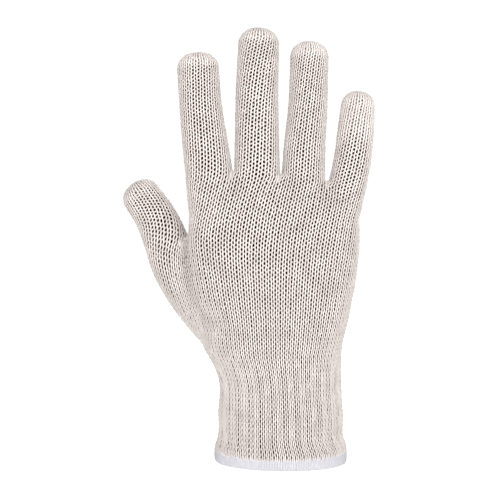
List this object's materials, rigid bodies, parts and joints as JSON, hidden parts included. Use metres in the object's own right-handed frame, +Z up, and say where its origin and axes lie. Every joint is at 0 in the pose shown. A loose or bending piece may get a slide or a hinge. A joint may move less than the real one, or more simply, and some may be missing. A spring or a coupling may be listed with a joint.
{
  "type": "string knit liner glove",
  "caption": "Seamless string knit work glove for the right hand, in its worn shape, with ribbed wrist and overlocked white hem.",
  "frame": {"origin": "middle of the wrist opening, in the plane of the hem's lower edge", "axes": "+Z up towards the fingertips, +Y towards the palm side, so the back of the hand faces -Y, and the thumb is on the -X side"},
  "size_m": [0.1396, 0.0556, 0.2414],
  "materials": {
    "string_knit": "plain loop-faced knit of unbleached cotton and polyester string, matt",
    "ribbed_knit": "elastic ribbed knit of the same unbleached string, matt",
    "hem_thread": "white overlock thread, close vertical stitches, matt"
  },
  "bodies": {
    "root": {"palm_body": "string_knit", "index_stall": "string_knit", "middle_stall": "string_knit", "ring_stall": "string_knit", "little_stall": "string_knit", "thumb_stall": "string_knit", "wrist_cuff": "ribbed_knit", "cuff_hem": "hem_thread"}
  },
  "joints": []
}
